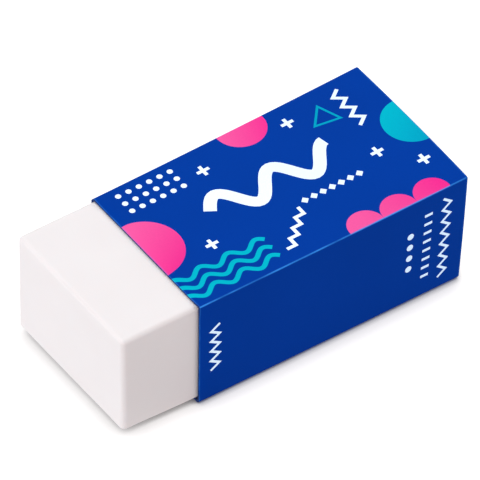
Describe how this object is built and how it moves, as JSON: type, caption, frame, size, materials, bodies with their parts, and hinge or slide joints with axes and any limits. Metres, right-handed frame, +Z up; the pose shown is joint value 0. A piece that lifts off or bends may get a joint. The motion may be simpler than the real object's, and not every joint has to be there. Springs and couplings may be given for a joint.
{
  "type": "rubber eraser",
  "caption": "Small block eraser of soft white vinyl in a folded card sleeve that slides along it and leaves one end bare.",
  "frame": {"origin": "below the middle of the whole, in the plane of the sleeve's underside", "axes": "+X along the block away from its bare nose, +Y across it towards the side near which the bottom panel's free edge lies, +Z up"},
  "size_m": [0.0432, 0.0198, 0.014],
  "materials": {
    "white_vinyl": "matte",
    "printed_card": "satin"
  },
  "bodies": {
    "block": {"eraser_block": "white_vinyl"},
    "sleeve": {"card_sleeve": "printed_card"}
  },
  "joints": [
    {"name": "sleeve_slide", "type": "slide", "parent": "block", "child": "sleeve", "axis": [1, 0, 0], "range_m": [-0.0094, 0.0238]}
  ]
}
